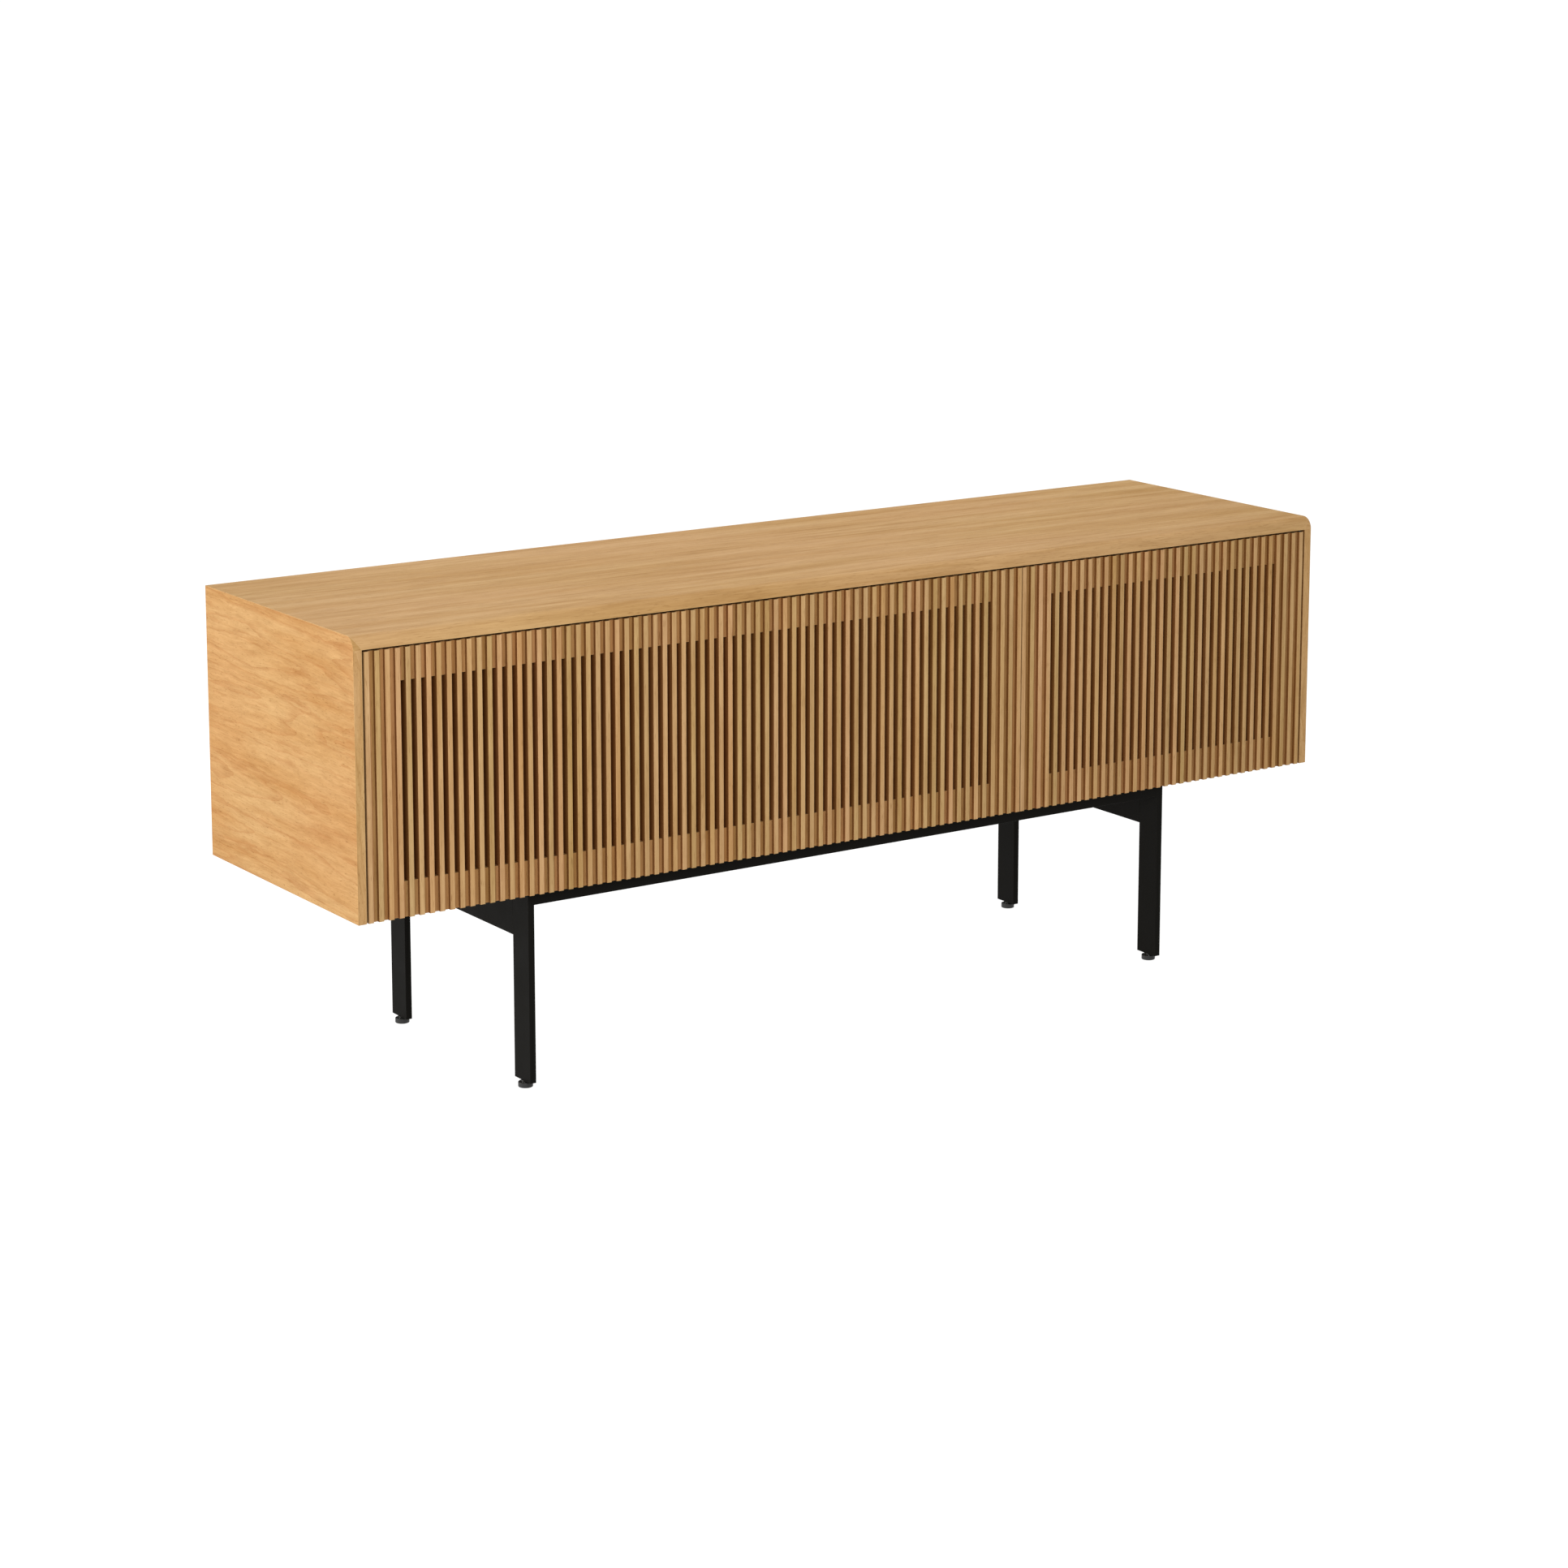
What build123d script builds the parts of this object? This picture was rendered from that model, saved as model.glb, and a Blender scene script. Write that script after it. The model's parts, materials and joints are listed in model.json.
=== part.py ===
from build123d import *
import os

os.makedirs("parts", exist_ok=True)

# ---- driving sizes, in millimetres ----
# The origin is on the floor under the middle of the cabinet. X runs along the
# cabinet, the fronts face -Y, and Z is up.
width = 1720.0
depth = 457.0
body_height = 402.0
body_lift = 293.0

top_t = 19.0
side_t = 13.5
board_t = 16.0
back_t = 6.0
front_round = 18.0
edge_round = 0.8

front_t = 20.0
groove_depth = 5.0
slat_pitch = 15.905
land_w = 8.0
land_round = 0.8
wide_grooves = 70
narrow_grooves = 35
closed_grooves = 3
slot_from = 50.5
slot_to = 333.2
reveal = 3.0
front_clear = 1.0

leg_t = 10.0
leg_w = 44.5
leg_from_end = 280.3
leg_inset = 21.5
foot_gap = 10.0
side_rail_h = 72.7
long_rail_h = 21.0

fit = 0.05          # radial play of a pin that turns in its eye
play = 0.3          # gap between faces that pass each other

# ---- places worked out from them ----
front_y = -depth / 2
back_y = depth / 2
top_z = body_lift + body_height
ceiling_z = top_z - top_t
floor_z = body_lift + board_t
inner_x = width / 2 - side_t
front_back_y = front_y + front_t
inner_y = front_back_y + front_clear
front_h = body_height - top_t - reveal
front_top_z = body_lift + front_h
groove_w = slat_pitch - land_w
wide_w = wide_grooves * slat_pitch + land_w
narrow_w = narrow_grooves * slat_pitch + land_w
flap_x0 = -inner_x + reveal
flap_x1 = flap_x0 + wide_w
door_x1 = inner_x - reveal
door_x0 = door_x1 - narrow_w
flap_mid_x = (flap_x0 + flap_x1) / 2

# The back boards slide in a groove that runs round the carcass.
back_face = back_y - 6.0
back_front = back_face - back_t
groove_slack = 0.1
groove_in = 5.0
back_in = 4.5

divider_x = (flap_x1 + door_x0) / 2
divider_left = divider_x - board_t / 2
divider_right = divider_x + board_t / 2
partition_x = (-inner_x + divider_left) / 2
partition_y = -190.0


def block(x, y, z, mode=Mode.ADD):
    # A rectangular block; x, y and z are each a (low, high) pair.
    with Locations(((x[0] + x[1]) / 2, (y[0] + y[1]) / 2, (z[0] + z[1]) / 2)):
        Box(x[1] - x[0], y[1] - y[0], z[1] - z[0], mode=mode)


def rod_x(x, y, z, radius, mode=Mode.ADD):
    # A round rod or hole along X; x is a (low, high) pair.
    with Locations(((x[0] + x[1]) / 2, y, z)):
        Cylinder(radius, x[1] - x[0], rotation=(0, 90, 0), mode=mode)


def rod_y(x, y, z, radius, mode=Mode.ADD):
    # A round rod or hole along Y; y is a (low, high) pair.
    with Locations((x, (y[0] + y[1]) / 2, z)):
        Cylinder(radius, y[1] - y[0], rotation=(90, 0, 0), mode=mode)


def rod_z(x, y, z, radius, mode=Mode.ADD):
    # A round rod or hole along Z; z is a (low, high) pair.
    with Locations((x, y, (z[0] + z[1]) / 2)):
        Cylinder(radius, z[1] - z[0], mode=mode)


def save(part, name):
    part.label = name
    export_step(part, f"parts/{name}.step")


# ---- wood screws ----
screw_r = 1.75
screw_head_r = 3.5
screw_head_h = 2.0


def wood_screw(length):
    # A countersunk screw pointing down from the origin, with its head face at z = 0.
    with BuildPart() as screw:
        with BuildSketch(Plane.XZ):
            with BuildLine():
                Polyline(
                    (0, 0),
                    (screw_head_r, 0),
                    (screw_r, -screw_head_h),
                    (screw_r, screw_r - length),
                    (0, -length),
                    close=True,
                )
            make_face()
        revolve(axis=Axis.Z)
    return screw.part


# A screw turned to point along each direction that the cabinet needs.
point_down = (0, 0, 0)
point_up = (180, 0, 0)
point_front = (-90, 0, 0)
point_left = (0, 90, 0)
point_right = (0, -90, 0)

hinge_screw = wood_screw(13.0)
front_screw = wood_screw(11.0)
base_screw = wood_screw(14.0)
back_screw = wood_screw(20.0)
housing_screw = wood_screw(21.0)


def screws(screw, points, turn, mode=Mode.ADD):
    # The same screw at each point, or its countersunk hole with Mode.SUBTRACT.
    with Locations(*[Location(point, turn) for point in points]):
        add(screw, mode=mode)


# ---- dowels and the groove for the back ----
dowel_r = 4.0
dowel_short = 9.0
dowel_long = 21.0
dowel_ys = (-150.0, 10.0, 165.0)
bottom_dowel_z = body_lift + board_t / 2


def upright_dowels(mode=Mode.ADD):
    # Dowels that hold the divider and the partition to the bottom and the top.
    for y in dowel_ys:
        for x in (divider_x, partition_x):
            rod_z(x, y, (floor_z - dowel_short, floor_z + dowel_long), dowel_r, mode)
            rod_z(x, y, (ceiling_z - dowel_long, ceiling_z + dowel_short), dowel_r, mode)


def side_dowels(mode=Mode.ADD):
    # Dowels that hold the bottom board between the sides.
    for y in dowel_ys:
        rod_x((-inner_x - dowel_short, -inner_x + dowel_long), y, bottom_dowel_z, dowel_r, mode)
        rod_x((inner_x - dowel_long, inner_x + dowel_short), y, bottom_dowel_z, dowel_r, mode)


def back_groove():
    # Cuts the groove for the back boards out of the board that is being built.
    x = inner_x + groove_in
    y = (back_front - groove_slack, back_face + groove_slack)
    block((-x, x), y, (floor_z - groove_in, ceiling_z + groove_in), Mode.SUBTRACT)


# ---- pivot hinges of the flap ----
# The pins lie inside the flap, as far from its back as from its lower edge, so the
# open flap is level with the bottom board.
pivot_in = board_t / 2
pivot_y = front_back_y - pivot_in
pivot_z = body_lift + pivot_in
hinge_xs = [flap_mid_x + offset for offset in (-470.0, -160.0, 160.0, 470.0)]
hinge_pin_r = 2.0
eye_r = 4.0
blade_half = 4.0
ear_t = 2.5
plate_half = 15.0
plate_t = 2.5
neck_back_y = inner_y + 5.0
bracket_back_y = inner_y + 43.0
leaf_z = (pivot_z + 8.0, pivot_z + 40.0)
ear_top_z = pivot_z + 10.0
ear_from = blade_half + play
ear_to = ear_from + ear_t
notch_half = ear_to + play
notch_slack = 0.4
bracket_screw_points = [(x, inner_y + dy, floor_z) for x in hinge_xs for dy in (16.0, 33.0)]
leaf_screw_points = [(x, front_back_y, pivot_z + dz) for x in hinge_xs for dz in (18.0, 32.0)]


def around(x, half):
    return (x - half, x + half)


def bracket_recess():
    # Room for the brackets in the top and the front edge of the bottom board.
    for x in hinge_xs:
        plate_y = (inner_y, bracket_back_y)
        neck_y = (inner_y, neck_back_y)
        block(around(x, plate_half), plate_y, (floor_z - plate_t, floor_z), Mode.SUBTRACT)
        block(around(x, blade_half), neck_y, (pivot_z - eye_r, floor_z), Mode.SUBTRACT)


# ---- folding stays of the flap ----
# An arm on a brake housing, and a link from the arm down to the flap. With the
# flap's own pivot they make a parallelogram: the arm turns as the flap does, and the
# link keeps its slope.
stay_reach = pivot_in + 11.0
stay_rise = 140.0
flap_pin = (pivot_y + stay_reach, pivot_z + stay_rise)
arm_pin = (pivot_y + 70.0, pivot_z + 130.0)
elbow = (arm_pin[0] + stay_reach, arm_pin[1] + stay_rise)
housing_t = 12.0
housing_l = 96.0
housing_h = 58.0
housing_round = 9.0
housing_y = arm_pin[0] + 22.0
stay_bar_t = 3.0
stay_bar_w = 15.0
stay_gap = 0.6
stud_r = 4.0
stud_head_r = 7.0
stay_pin_r = 3.0
stay_head_r = 5.5
stay_head_t = 1.2
arm_at = housing_t + stay_gap
link_at = arm_at + stay_bar_t + stay_gap
ear_at = link_at + stay_bar_t + stay_gap
stay_plate_t = 2.5
stay_plate_half = 22.0
stay_walls = {"left": (-inner_x, 1), "right": (divider_left, -1)}
housing_screw_dy = 38.0
stay_screw_dz = 15.0


def slice_x(side, start, thickness):
    # The X range of a slice that starts at a distance off the wall of one side.
    wall, way = stay_walls[side]
    ends = (wall + way * start, wall + way * (start + thickness))
    return (min(ends), max(ends))


def stay_bar(x, pin0, pin1, hole0, hole1):
    # A flat bar with round ends between two pins, with a hole for each.
    run = Vector(pin1[0] - pin0[0], pin1[1] - pin0[1])
    middle = ((pin0[0] + pin1[0]) / 2, (pin0[1] + pin1[1]) / 2)
    slope = Vector(1, 0, 0).get_signed_angle(run, Vector(0, 0, 1))
    with BuildPart() as flat:
        with BuildSketch(Plane.YZ.offset(x[0])):
            with Locations(middle):
                SlotCenterToCenter(run.length, stay_bar_w, rotation=slope)
            with Locations(pin0):
                Circle(hole0, mode=Mode.SUBTRACT)
            with Locations(pin1):
                Circle(hole1, mode=Mode.SUBTRACT)
        extrude(amount=x[1] - x[0])
    return flat.part


def housing_screw_points(side):
    x = slice_x(side, housing_t, 0)[0]
    return [(x, housing_y + dy, arm_pin[1]) for dy in (-housing_screw_dy, housing_screw_dy)]


def housing_screws(side, mode=Mode.ADD):
    # The two screws that run through a stay housing into its wall.
    turn = point_left if side == "left" else point_right
    screws(housing_screw, housing_screw_points(side), turn, mode)


def stay_plate_screw_points(side):
    x = slice_x(side, ear_at + 7.5, 0)[0]
    y = front_back_y + stay_plate_t
    return [(x, y, flap_pin[1] + dz) for dz in (-stay_screw_dz, stay_screw_dz)]


# ---- pivot plates of the door ----
# The pin stands close to the outer front corner of the door, so that the corner
# clears the side as the door swings out.
door_pin_x = door_x1 - 4.5
door_pin_y = front_y + 4.25
door_pin_r = 1.75
door_pin_in = 12.0
door_plate_t = 2.5
door_neck_half = 3.0
door_plate_back_y = inner_y + 36.0
door_recess_h = door_plate_t + 0.4
door_recess_slack = 0.4
plate_pocket_half = 12.0
lower_plate_x = (door_pin_x - 2 * plate_pocket_half + door_neck_half, door_pin_x + door_neck_half)
upper_plate_x = (door_pin_x - 9.0, door_pin_x + 5.0)
upper_plate_y = (front_y + 1.5, inner_y + 30.0)
lower_plate_y = (inner_y, door_plate_back_y)
lower_plate_z = (body_lift, body_lift + door_plate_t)
upper_plate_z = (ceiling_z, ceiling_z + door_plate_t)
lower_plate_screws = [(door_pin_x - 9.0, inner_y + dy, body_lift) for dy in (9.0, 27.0)]
upper_plate_screws = [(door_pin_x - 2.0, inner_y + dy, ceiling_z) for dy in (2.0, 22.0)]


def door_pins(mode=Mode.ADD, slack=0.0):
    radius = door_pin_r + slack
    low = (body_lift, body_lift + door_recess_h + door_pin_in)
    high = (front_top_z - door_pin_in, ceiling_z + door_plate_t)
    rod_z(door_pin_x, door_pin_y, low, radius, mode)
    rod_z(door_pin_x, door_pin_y, high, radius, mode)


# ---- push latches ----
latch_half = 8.0
latch_h = 16.0
latch_y = (inner_y + 8.5, inner_y + 68.0)
latch_axis_z = ceiling_z - 10.0
strike_r = 6.5
strike_t = 1.2
plunger_r = 4.0
plunger_cap_r = 5.5
plunger_cap_l = 4.0
plunger_tip_y = front_back_y + strike_t + play
plunger_end_y = plunger_tip_y + 57.0
latch_xs = {
    "flap_left": flap_mid_x - 400.0,
    "flap_right": flap_mid_x + 400.0,
    "door": door_x0 + 32.0,
}

# ---- cable outlets in the back boards ----
outlet_r = 30.0
outlet_z = floor_z + 75.0
outlet_xs = {
    "left": (-inner_x + partition_x) / 2,
    "middle": (partition_x + divider_left) / 2,
    "right": (divider_right + inner_x) / 2,
}
grommet_flange_r = 34.0
grommet_flange_t = 2.0
grommet_wall = 2.5
back_screw_zs = (floor_z + 30.0, (floor_z + ceiling_z) / 2, ceiling_z - 30.0)
seam_dx = 4.5
wide_back_screws = [(x, back_face, z) for x in (partition_x, divider_x - seam_dx) for z in back_screw_zs]
narrow_back_screws = [(divider_x + seam_dx, back_face, z) for z in back_screw_zs]

# ---- shelf behind the door ----
shelf_z = floor_z + 175.0
shelf_y = (-190.0, back_front - 1.0)
shelf_end_gap = 0.5
shelf_pin_r = 2.5
shelf_pin_in = 8.0
shelf_pin_out = 9.0
shelf_pin_ys = (-150.0, 180.0)
shelf_pin_rows = (-96.0, -64.0, -32.0, 0.0, 32.0, 64.0, 96.0)


def shelf_pin_x(side):
    # The X range of a shelf pin in the divider or in the right side.
    if side == "left":
        return (divider_right - shelf_pin_in, divider_right + shelf_pin_out)
    return (inner_x - shelf_pin_out, inner_x + shelf_pin_in)


def shelf_holes(side):
    # A row of holes at the front and at the back, so that the shelf can be moved.
    for y in shelf_pin_ys:
        for dz in shelf_pin_rows:
            z = shelf_z - shelf_pin_r + dz
            rod_x(shelf_pin_x(side), y, z, shelf_pin_r, Mode.SUBTRACT)


# ---- base ----
leg_x = (width / 2 - leg_from_end - leg_t, width / 2 - leg_from_end)
leg_front_y = (front_y + leg_inset, front_y + leg_inset + leg_w)
leg_back_y = (back_y - leg_inset - leg_w, back_y - leg_inset)
foot_x = (leg_x[0] + leg_x[1]) / 2
corner_plate = 60.0
corner_plate_t = 4.0
foot_pad_r = 10.75
foot_pad_h = 7.5
foot_nut_r = 6.5
foot_stem_r = 3.0
foot_stem_in = 28.0
foot_seat = 3.0
corners = {
    "front_left": (-1, leg_front_y),
    "front_right": (1, leg_front_y),
    "back_left": (-1, leg_back_y),
    "back_right": (1, leg_back_y),
}


def mirror_x(x, way):
    # The same X range on the left (-1) or on the right (1) of the cabinet.
    ends = (way * x[0], way * x[1])
    return (min(ends), max(ends))


def corner_plate_place(way, leg_y):
    # The inner corner between a leg and its long rail.
    x = mirror_x((leg_x[0] - corner_plate, leg_x[0]), way)
    if leg_y[0] < 0:
        y = (leg_y[0] + leg_t, leg_y[0] + leg_t + corner_plate)
    else:
        y = (leg_y[1] - leg_t - corner_plate, leg_y[1] - leg_t)
    return x, y


base_screw_points = []
for way, leg_y in corners.values():
    plate_x, plate_y = corner_plate_place(way, leg_y)
    for part_way in (0.25, 0.75):
        x = plate_x[0] + part_way * corner_plate
        y = plate_y[0] + (part_way if way * leg_y[0] > 0 else 1 - part_way) * corner_plate
        base_screw_points.append((x, y, body_lift - corner_plate_t))

# =============================== carcass ===============================

mitre_left = Plane(origin=(-width / 2, 0, top_z), z_dir=(top_t, 0, side_t))
mitre_right = Plane(origin=(width / 2, 0, top_z), z_dir=(-top_t, 0, side_t))

# The outside of the closed body, from which the top and the sides are cut, so that
# their rounded edges meet at the mitres.
with BuildPart() as body_outside:
    with BuildSketch(Plane.YZ.offset(-width / 2)) as end_view:
        with Locations((0, body_lift + body_height / 2)):
            Rectangle(depth, body_height)
        fillet(end_view.vertices().group_by(Axis.Y)[-1].sort_by(Axis.X)[0], radius=front_round)
    extrude(amount=width)
    end_faces = body_outside.faces().filter_by(Axis.X)
    fillet(end_faces.edges(), radius=edge_round)

with BuildPart() as top_panel:
    add(body_outside.part)
    block((-width, width), (-depth, depth), (0, ceiling_z), Mode.SUBTRACT)
    split(bisect_by=mitre_left, keep=Keep.TOP)
    split(bisect_by=mitre_right, keep=Keep.TOP)
    back_groove()
    upright_dowels(Mode.SUBTRACT)
    block(upper_plate_x, upper_plate_y, upper_plate_z, Mode.SUBTRACT)
    screws(front_screw, upper_plate_screws, point_up, Mode.SUBTRACT)
save(top_panel.part, "top_panel")

for side, way, mitre in (("left", -1, mitre_left), ("right", 1, mitre_right)):
    with BuildPart() as side_panel:
        add(body_outside.part)
        rest_x = mirror_x((-width, inner_x), way)
        block(rest_x, (-depth, depth), (0, 2 * top_z), Mode.SUBTRACT)
        split(bisect_by=mitre, keep=Keep.BOTTOM)
        back_groove()
        side_dowels(Mode.SUBTRACT)
        if side == "left":
            housing_screws("left", Mode.SUBTRACT)
        else:
            shelf_holes("right")
    save(side_panel.part, f"side_panel_{side}")

with BuildPart() as bottom_panel:
    block((-inner_x, inner_x), (inner_y, back_y), (body_lift, floor_z))
    back_groove()
    upright_dowels(Mode.SUBTRACT)
    side_dowels(Mode.SUBTRACT)
    bracket_recess()
    screws(hinge_screw, bracket_screw_points, point_down, Mode.SUBTRACT)
    block(lower_plate_x, lower_plate_y, lower_plate_z, Mode.SUBTRACT)
    screws(front_screw, lower_plate_screws, point_up, Mode.SUBTRACT)
    screws(base_screw, base_screw_points, point_up, Mode.SUBTRACT)
save(bottom_panel.part, "bottom_panel")

with BuildPart() as divider:
    block((divider_left, divider_right), (inner_y, back_front), (floor_z, ceiling_z))
    upright_dowels(Mode.SUBTRACT)
    housing_screws("right", Mode.SUBTRACT)
    shelf_holes("left")
    screws(back_screw, wide_back_screws + narrow_back_screws, point_front, Mode.SUBTRACT)
save(divider.part, "divider")

partition_pass_l = 70.0
partition_pass_h = 36.0
with BuildPart() as centre_partition:
    partition_x_range = around(partition_x, board_t / 2)
    block(partition_x_range, (partition_y, back_front), (floor_z, ceiling_z))
    with BuildSketch(Plane.YZ.offset(partition_x_range[0])):
        with Locations((back_front - 60.0, outlet_z)):
            SlotOverall(partition_pass_l, partition_pass_h)
    extrude(amount=board_t, mode=Mode.SUBTRACT)
    upright_dowels(Mode.SUBTRACT)
    screws(back_screw, wide_back_screws, point_front, Mode.SUBTRACT)
save(centre_partition.part, "centre_partition")

back_boards = {
    "wide": (-inner_x - back_in, divider_x, ("left", "middle"), wide_back_screws),
    "narrow": (divider_x + groove_slack, inner_x + back_in, ("right",), narrow_back_screws),
}
for name, (x0, x1, outlets, fixings) in back_boards.items():
    with BuildPart() as back_board:
        block((x0, x1), (back_front, back_face), (floor_z - back_in, ceiling_z + back_in))
        for outlet in outlets:
            y = (back_front, back_face)
            rod_y(outlet_xs[outlet], y, outlet_z, outlet_r, Mode.SUBTRACT)
        screws(back_screw, fixings, point_front, Mode.SUBTRACT)
    save(back_board.part, f"back_board_{name}")

with BuildPart() as cable_grommets:
    for x in outlet_xs.values():
        rod_y(x, (back_front, back_face), outlet_z, outlet_r)
        rod_y(x, (back_face, back_face + grommet_flange_t), outlet_z, grommet_flange_r)
    fillet(cable_grommets.edges().group_by(Axis.Y)[-1], radius=edge_round)
    for x in outlet_xs.values():
        through_y = (back_front, back_face + grommet_flange_t)
        rod_y(x, through_y, outlet_z, outlet_r - grommet_wall, Mode.SUBTRACT)
save(cable_grommets.part, "cable_grommets")

with BuildPart() as shelf:
    shelf_x = (divider_right + shelf_end_gap, inner_x - shelf_end_gap)
    block(shelf_x, shelf_y, (shelf_z, shelf_z + board_t))
    fillet(shelf.edges().filter_by(Axis.X).sort_by(Axis.Y)[0:2], radius=edge_round)
save(shelf.part, "shelf")

with BuildPart() as shelf_pins:
    for side in ("left", "right"):
        for y in shelf_pin_ys:
            rod_x(shelf_pin_x(side), y, shelf_z - shelf_pin_r, shelf_pin_r)
save(shelf_pins.part, "shelf_pins")

with BuildPart() as carcass_dowels:
    upright_dowels()
    side_dowels()
save(carcass_dowels.part, "carcass_dowels")

with BuildPart() as back_screws:
    screws(back_screw, wide_back_screws + narrow_back_screws, point_front)
save(back_screws.part, "back_screws")

# =============================== fronts ===============================


def slatted_front(x0, groove_count):
    # A board with upright grooves in its face, all but the outer few cut through as
    # slots over most of their height.
    front_w = groove_count * slat_pitch + land_w
    mid_x = x0 + front_w / 2
    web_t = front_t - groove_depth
    with BuildPart() as front:
        with BuildSketch(Plane.XY.offset(body_lift)):
            with Locations((mid_x, front_back_y - web_t / 2)):
                Rectangle(front_w, web_t)
        extrude(amount=front_h)
        with BuildSketch(Plane.XY.offset(body_lift)) as lands:
            with Locations((mid_x, front_y + groove_depth / 2)):
                with GridLocations(slat_pitch, 1, groove_count + 1, 1):
                    Rectangle(land_w, groove_depth)
            fillet(lands.vertices().group_by(Axis.Y)[0], radius=land_round)
        extrude(amount=front_h)
        slot_count = groove_count - 2 * closed_grooves
        with BuildSketch(Plane.XZ.offset(-front_back_y)):
            with Locations((mid_x, body_lift + (slot_from + slot_to) / 2)):
                with GridLocations(slat_pitch, 1, slot_count, 1):
                    Rectangle(groove_w, slot_to - slot_from)
        extrude(amount=web_t, mode=Mode.SUBTRACT)
    return front.part


flap_board = slatted_front(flap_x0, wide_grooves)
door_board = slatted_front(door_x0, narrow_grooves)

with BuildPart() as flap_front:
    add(flap_board)
    back_edges = flap_front.edges().filter_by(Axis.X).group_by(Axis.Z)[0]
    fillet(back_edges.sort_by(Axis.Y)[-1], radius=pivot_in)
    for x in hinge_xs:
        notch_y = (pivot_y - eye_r - notch_slack, front_back_y)
        block(around(x, notch_half), notch_y, (body_lift, ear_top_z + play), Mode.SUBTRACT)
        block(around(x, plate_half), (front_back_y - plate_t, front_back_y), leaf_z, Mode.SUBTRACT)
        rod_x(around(x, ear_to + 4.0), pivot_y, pivot_z, hinge_pin_r, Mode.SUBTRACT)
    screws(front_screw, leaf_screw_points, point_front, Mode.SUBTRACT)
    for side in stay_walls:
        screws(front_screw, stay_plate_screw_points(side), point_front, Mode.SUBTRACT)
save(flap_front.part, "flap_front")

with BuildPart() as door_front:
    add(door_board)
    recess_x = (door_pin_x - door_neck_half - door_recess_slack, door_x1)
    recess_y = (door_pin_y - door_neck_half - door_recess_slack, front_back_y)
    block(recess_x, recess_y, (body_lift, body_lift + door_recess_h), Mode.SUBTRACT)
    door_pins(Mode.SUBTRACT, fit)
save(door_front.part, "door_front")

# =============================== flap hinges ===============================

with BuildPart() as flap_hinge_brackets:
    for x in hinge_xs:
        rod_x(around(x, blade_half), pivot_y, pivot_z, eye_r)
        block(around(x, blade_half), (pivot_y, neck_back_y), around(pivot_z, eye_r))
        block(around(x, blade_half), (inner_y, neck_back_y), (pivot_z, floor_z))
        block(around(x, plate_half), (inner_y, bracket_back_y), (floor_z - plate_t, floor_z))
        rod_x(around(x, blade_half), pivot_y, pivot_z, hinge_pin_r + fit, Mode.SUBTRACT)
    screws(hinge_screw, bracket_screw_points, point_down, Mode.SUBTRACT)
save(flap_hinge_brackets.part, "flap_hinge_brackets")

with BuildPart() as flap_hinge_leaves:
    for x in hinge_xs:
        block(around(x, plate_half), (front_back_y - plate_t, front_back_y), leaf_z)
        for ear in ((x - ear_to, x - ear_from), (x + ear_from, x + ear_to)):
            block(ear, (pivot_y - eye_r, front_back_y), (pivot_z, ear_top_z))
            rod_x(ear, pivot_y, pivot_z, eye_r)
            rod_x(ear, pivot_y, pivot_z, hinge_pin_r, Mode.SUBTRACT)
    screws(front_screw, leaf_screw_points, point_front, Mode.SUBTRACT)
save(flap_hinge_leaves.part, "flap_hinge_leaves")

with BuildPart() as flap_hinge_pins:
    for x in hinge_xs:
        rod_x(around(x, ear_to + 4.0), pivot_y, pivot_z, hinge_pin_r)
save(flap_hinge_pins.part, "flap_hinge_pins")

with BuildPart() as flap_screws:
    screws(front_screw, leaf_screw_points, point_front)
    for side in stay_walls:
        screws(front_screw, stay_plate_screw_points(side), point_front)
save(flap_screws.part, "flap_screws")

# =============================== folding stays ===============================

for side in stay_walls:
    with BuildPart() as housing:
        body_x = slice_x(side, 0, housing_t)
        with BuildSketch(Plane.YZ.offset(body_x[0])):
            with Locations((housing_y, arm_pin[1])):
                RectangleRounded(housing_l, housing_h, housing_round)
        extrude(amount=housing_t)
        housing_screws(side, Mode.SUBTRACT)
    save(housing.part, f"stay_housing_{side}")

    arm_x = slice_x(side, arm_at, stay_bar_t)
    with BuildPart() as arm:
        add(stay_bar(arm_x, arm_pin, elbow, stud_r + fit, stay_pin_r))
    save(arm.part, f"stay_arm_{side}")

    link_x = slice_x(side, link_at, stay_bar_t)
    with BuildPart() as link:
        add(stay_bar(link_x, flap_pin, elbow, stay_pin_r + fit, stay_pin_r + fit))
    save(link.part, f"stay_link_{side}")

    with BuildPart() as stay_plate:
        ear_x = slice_x(side, ear_at, stay_bar_t)
        plate_x = slice_x(side, ear_at - 10.0, 22.0)
        plate_y = (front_back_y, front_back_y + stay_plate_t)
        block(plate_x, plate_y, around(flap_pin[1], stay_plate_half))
        block(ear_x, (front_back_y, flap_pin[0]), around(flap_pin[1], stay_bar_w / 2))
        rod_x(ear_x, *flap_pin, stay_bar_w / 2)
        rod_x(ear_x, *flap_pin, stay_pin_r, Mode.SUBTRACT)
        screws(front_screw, stay_plate_screw_points(side), point_front, Mode.SUBTRACT)
    save(stay_plate.part, f"stay_plate_{side}")

with BuildPart() as stay_studs:
    for side in stay_walls:
        head_at = arm_at + stay_bar_t + play
        rod_x(slice_x(side, housing_t, head_at - housing_t), *arm_pin, stud_r)
        rod_x(slice_x(side, head_at, stay_head_t), *arm_pin, stud_head_r)
save(stay_studs.part, "stay_studs")

with BuildPart() as stay_elbow_pins:
    for side in stay_walls:
        head_at = link_at + stay_bar_t + play
        rod_x(slice_x(side, arm_at, head_at - arm_at), *elbow, stay_pin_r)
        rod_x(slice_x(side, head_at, stay_head_t), *elbow, stay_head_r)
save(stay_elbow_pins.part, "stay_elbow_pins")

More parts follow.
